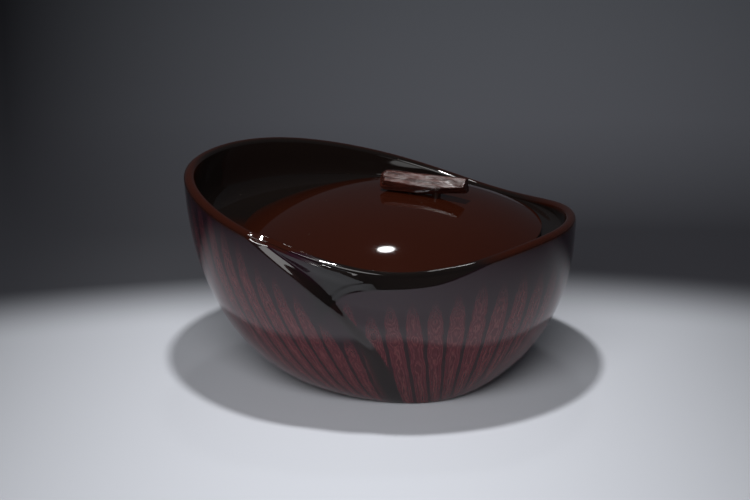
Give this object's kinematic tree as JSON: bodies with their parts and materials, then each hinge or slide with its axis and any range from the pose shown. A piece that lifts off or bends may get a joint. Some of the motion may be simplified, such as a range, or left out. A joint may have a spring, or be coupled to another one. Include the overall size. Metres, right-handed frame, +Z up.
{
  "type": "lidded lacquer container",
  "caption": "Oval lacquered bowl with a rolled, waving rim and a folded front, and a domed lift-off lid with a carved bar handle.",
  "frame": {"origin": "on the surface that the vessel stands on, under the middle of its overall box", "axes": "+Z up, +X along the vessel's length with the high end of the rim at -X, -Y to the folded front"},
  "size_m": [0.2608, 0.2276, 0.1413],
  "materials": {
    "striped_lacquer": "polished layered lacquer over wood, red-brown stripes on black-brown",
    "brown_lacquer": "polished brown-red lacquer over wood",
    "foot_lacquer": "satin black lacquer over wood",
    "carved_wood": "carved hardwood, rubbed to a soft gloss",
    "peg_wood": "plain turned hardwood"
  },
  "bodies": {
    "vessel": {"body_shell": "striped_lacquer", "lid_seat_ring": "brown_lacquer", "foot_ring": "foot_lacquer"},
    "lid": {"lid_shell": "brown_lacquer", "lid_locating_ring": "brown_lacquer", "lid_knob": "carved_wood", "knob_peg_left": "peg_wood", "knob_peg_right": "peg_wood"}
  },
  "joints": [
    {"name": "lid_lift", "type": "slide", "parent": "vessel", "child": "lid", "axis": [0, 0, 1], "range_m": [0, 0.12]}
  ]
}
